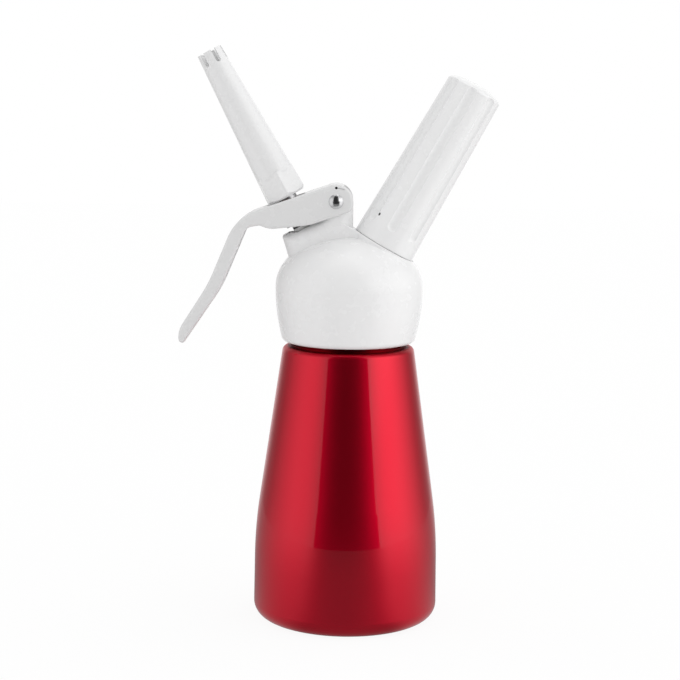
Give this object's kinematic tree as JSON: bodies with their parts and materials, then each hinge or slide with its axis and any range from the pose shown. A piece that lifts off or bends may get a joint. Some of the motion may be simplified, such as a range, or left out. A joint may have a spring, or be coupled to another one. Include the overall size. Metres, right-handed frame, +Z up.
{
  "type": "whipped cream dispenser",
  "caption": "Hand-held whipped cream dispenser: waisted metal bottle, screwed moulded head with trigger lever, decorator nozzle and fluted gas charger holder.",
  "frame": {"origin": "centre of the bottle's flat base", "axes": "+Z up along the bottle's axis, -X towards the nozzle and the lever, +X towards the charger holder, -Y towards the viewer"},
  "size_m": [0.1282, 0.0758, 0.2336],
  "materials": {
    "lacquered_aluminium": "clear red lacquer over polished metal",
    "white_plastic": "moulded, glossy",
    "natural_plastic": "turned nylon",
    "steel": "turned stainless steel",
    "brass": "turned",
    "red_silicone": "soft, matt",
    "black_rubber": "soft, matt"
  },
  "bodies": {
    "bottle": {"bottle": "lacquered_aluminium"},
    "gasket_ring": {"head_gasket": "red_silicone"},
    "head": {"head_housing": "white_plastic", "stem_bush": "natural_plastic", "lever_pin": "steel", "spring_cage": "natural_plastic", "charger_port": "steel", "port_washer": "natural_plastic", "port_nut": "steel", "check_sleeve": "black_rubber", "gas_filter": "brass", "piercing_pin": "steel", "charger_seal": "black_rubber"},
    "lever": {"lever": "white_plastic"},
    "valve": {"valve_stem": "steel", "stem_o_rings": "black_rubber", "valve_seal": "black_rubber", "seal_nut": "steel", "valve_spring": "steel"},
    "nozzle_ring": {"nozzle_washer": "red_silicone"},
    "nozzle": {"nozzle": "white_plastic", "nozzle_insert": "brass"},
    "gas_bottle": {"charger": "steel", "charger_cap": "steel"},
    "holder": {"charger_holder": "white_plastic", "holder_insert": "brass", "holder_pad": "black_rubber"}
  },
  "joints": [
    {"name": "head_lift", "type": "slide", "parent": "bottle", "child": "gasket_ring", "axis": [0, 0, 1], "range_m": [0, 0.006]},
    {"name": "head_turn", "type": "hinge", "parent": "gasket_ring", "child": "head", "pos_m": [0, 0, 0.12], "axis": [0, 0, 1], "range_deg": [0, 548]},
    {"name": "lever_pivot", "type": "hinge", "parent": "head", "child": "lever", "pos_m": [-0.00575, 0, 0.1722], "axis": [0, -1, 0], "range_deg": [0, 9.13], "stiffness_Nm_per_rad": 0.9, "springref_deg": -16.04},
    {"name": "valve_travel", "type": "slide", "parent": "head", "child": "valve", "axis": [0.481, 0, -0.8767], "range_m": [0, 0.00266], "deforming": ["valve_spring"]},
    {"name": "nozzle_lift", "type": "slide", "parent": "valve", "child": "nozzle_ring", "axis": [-0.481, 0, 0.8767], "range_m": [0, 0.006]},
    {"name": "nozzle_turn", "type": "hinge", "parent": "nozzle_ring", "child": "nozzle", "pos_m": [-0.02886, 0, 0.17915], "axis": [-0.481, 0, 0.8767], "range_deg": [0, 1095]},
    {"name": "gas_lift", "type": "slide", "parent": "head", "child": "gas_bottle", "axis": [0.4917, 0, 0.8708], "range_m": [0, 0.0075]},
    {"name": "holder_turn", "type": "hinge", "parent": "gas_bottle", "child": "holder", "pos_m": [0.0295, 0, 0.18225], "axis": [0.4917, 0, 0.8708], "range_deg": [0, 1095]}
  ],
  "couplings": [
    {"joint": "head_turn", "follows": "head_lift", "rad_per_m": 1570.8},
    {"joint": "lever_pivot", "follows": "valve_travel", "rad_per_m": 59.119},
    {"joint": "nozzle_turn", "follows": "nozzle_lift", "rad_per_m": 3141.6},
    {"joint": "holder_turn", "follows": "gas_lift", "rad_per_m": 2513.3}
  ]
}
